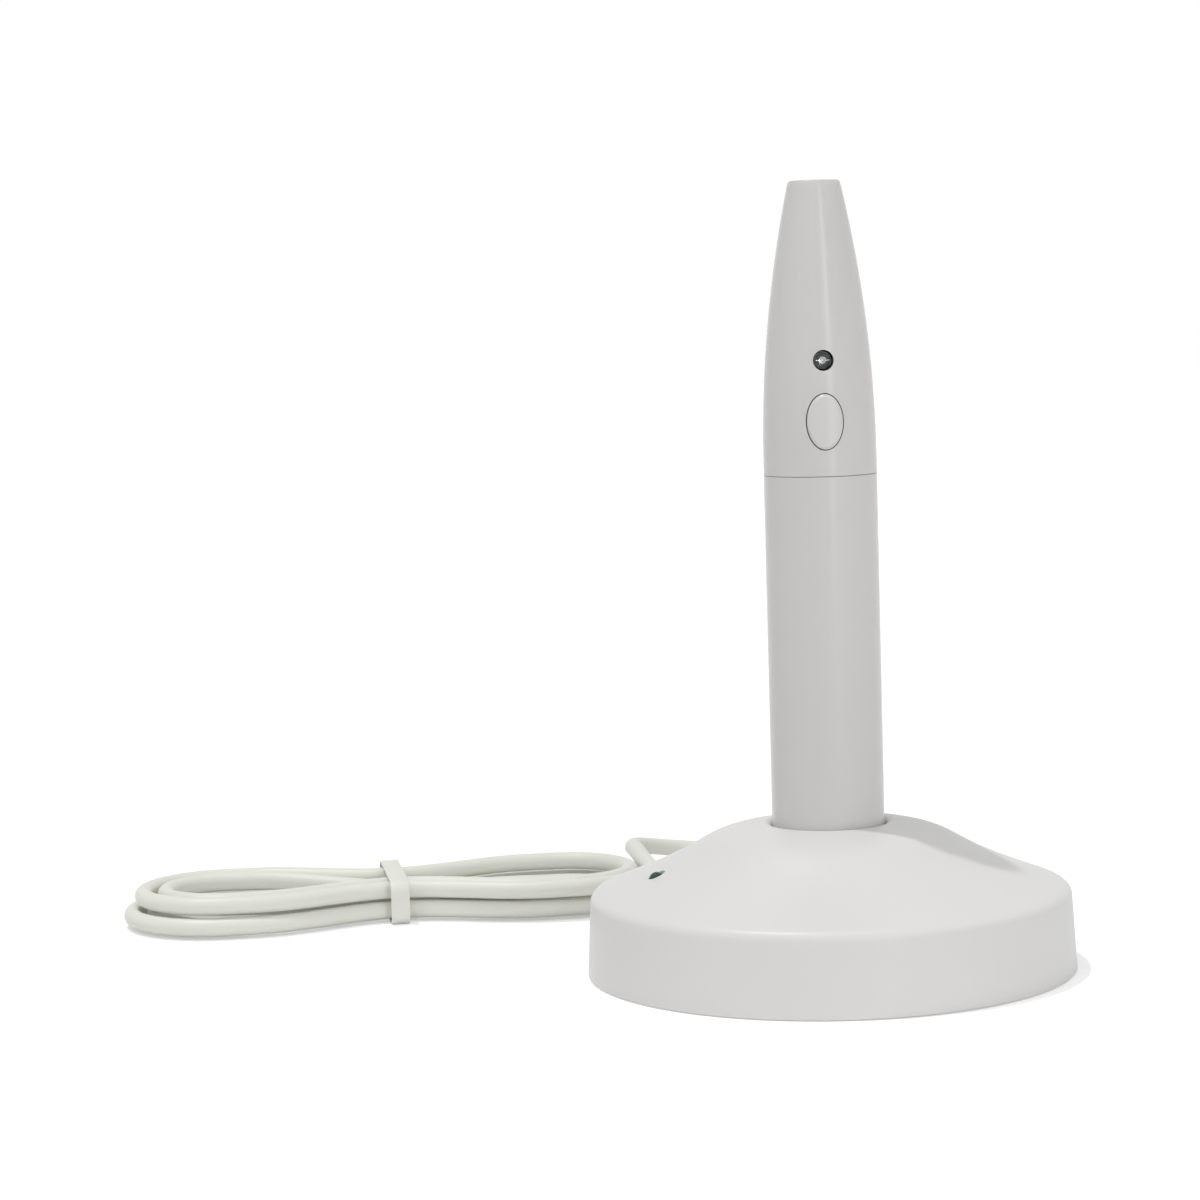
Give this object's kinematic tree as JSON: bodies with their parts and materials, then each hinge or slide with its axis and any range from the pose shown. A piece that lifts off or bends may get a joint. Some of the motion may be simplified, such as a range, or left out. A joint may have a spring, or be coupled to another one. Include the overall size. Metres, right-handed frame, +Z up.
{
  "type": "cordless heated dental cutter with charging base",
  "caption": "Pen-shaped cordless heated cutter for root-filling points, standing in a round bell-shaped charging base with its lead in a hank.",
  "frame": {"origin": "on the table under the centre of the round base", "axes": "+Z up along the handpiece, -Y the way its button faces, -X towards the lamp on the base"},
  "size_m": [0.1938, 0.1739, 0.1542],
  "materials": {
    "shell_plastic": "satin white moulded plastic",
    "base_plastic": "satin white moulded plastic",
    "button_plastic": "satin white moulded plastic",
    "dark_plastic": "black moulded plastic",
    "natural_plastic": "uncoloured moulded plastic",
    "foot_rubber": "matt black rubber",
    "seal_rubber": "red silicone rubber",
    "zinc_steel": "bright zinc plate",
    "gold_plate": "gold plated brass",
    "nickel_plate": "nickel plate",
    "board_laminate": "green board laminate",
    "cell_sleeve": "shrink sleeve over a steel can",
    "lamp_clear": "water clear epoxy",
    "lamp_green": "tinted epoxy",
    "cord_jacket": "soft off-white jacket"
  },
  "bodies": {
    "base": {"base_housing": "base_plastic", "base_plate": "base_plastic", "base_ballast": "zinc_steel", "contact_block": "dark_plastic", "charge_board": "board_laminate", "charge_lamp": "lamp_green", "pin_sleeve_centre": "gold_plate", "pin_sleeve_ring": "gold_plate", "pin_spring_centre": "zinc_steel", "pin_spring_ring": "zinc_steel", "cord_relief": "cord_jacket", "cord_lead": "cord_jacket", "cord_hank": "cord_jacket", "cord_tail": "cord_jacket", "cord_tie": "cord_jacket", "plug_grip": "cord_jacket", "plug_shell": "nickel_plate", "plug_tongue": "dark_plastic", "base_foot_1": "foot_rubber", "base_screw_1": "zinc_steel", "base_foot_2": "foot_rubber", "base_screw_2": "zinc_steel", "base_foot_3": "foot_rubber", "base_screw_3": "zinc_steel", "base_foot_4": "foot_rubber", "base_screw_4": "zinc_steel"},
    "pin_centre": {"charge_pin_centre": "gold_plate"},
    "pin_ring": {"charge_pin_ring": "gold_plate"},
    "barrel": {"rear_barrel": "shell_plastic", "tail_cap": "shell_plastic", "tail_contact_centre": "gold_plate", "tail_contact_ring": "gold_plate", "tail_spring": "nickel_plate", "battery_cell": "cell_sleeve"},
    "seal": {"seal_ring": "seal_rubber"},
    "front": {"front_shell": "shell_plastic", "tip_socket": "dark_plastic", "socket_sleeve_left": "gold_plate", "socket_sleeve_right": "gold_plate", "socket_lead_left": "dark_plastic", "socket_lead_right": "seal_rubber", "board_carrier": "natural_plastic", "control_board": "board_laminate", "front_contact": "gold_plate", "switch_body": "dark_plastic", "status_lens": "lamp_clear", "status_frame": "nickel_plate"},
    "button": {"power_button": "button_plastic", "switch_stem": "natural_plastic"}
  },
  "joints": [
    {"name": "handpiece_lift", "type": "slide", "parent": "base", "child": "barrel", "axis": [0, 0, 1], "range_m": [0, 0.03]},
    {"name": "seal_rise", "type": "slide", "parent": "barrel", "child": "seal", "axis": [0, 0, 1], "range_m": [0, 0.006]},
    {"name": "front_unscrew", "type": "hinge", "parent": "seal", "child": "front", "pos_m": [0, 0, 0.0975], "axis": [0, 0, 1], "range_deg": [0, 720]},
    {"name": "button_press", "type": "slide", "parent": "front", "child": "button", "axis": [0, 1, 0], "range_m": [0, 0.0005], "stiffness_N_per_m": 800},
    {"name": "pin_centre_press", "type": "slide", "parent": "base", "child": "pin_centre", "axis": [0, 0, -1], "range_m": [0, 0.001], "stiffness_N_per_m": 400, "deforming": ["pin_spring_centre"]},
    {"name": "pin_ring_press", "type": "slide", "parent": "base", "child": "pin_ring", "axis": [0, 0, -1], "range_m": [0, 0.001], "stiffness_N_per_m": 400, "deforming": ["pin_spring_ring"]}
  ],
  "couplings": [
    {"joint": "seal_rise", "follows": "front_unscrew", "m_per_rad": 0.00047746}
  ]
}
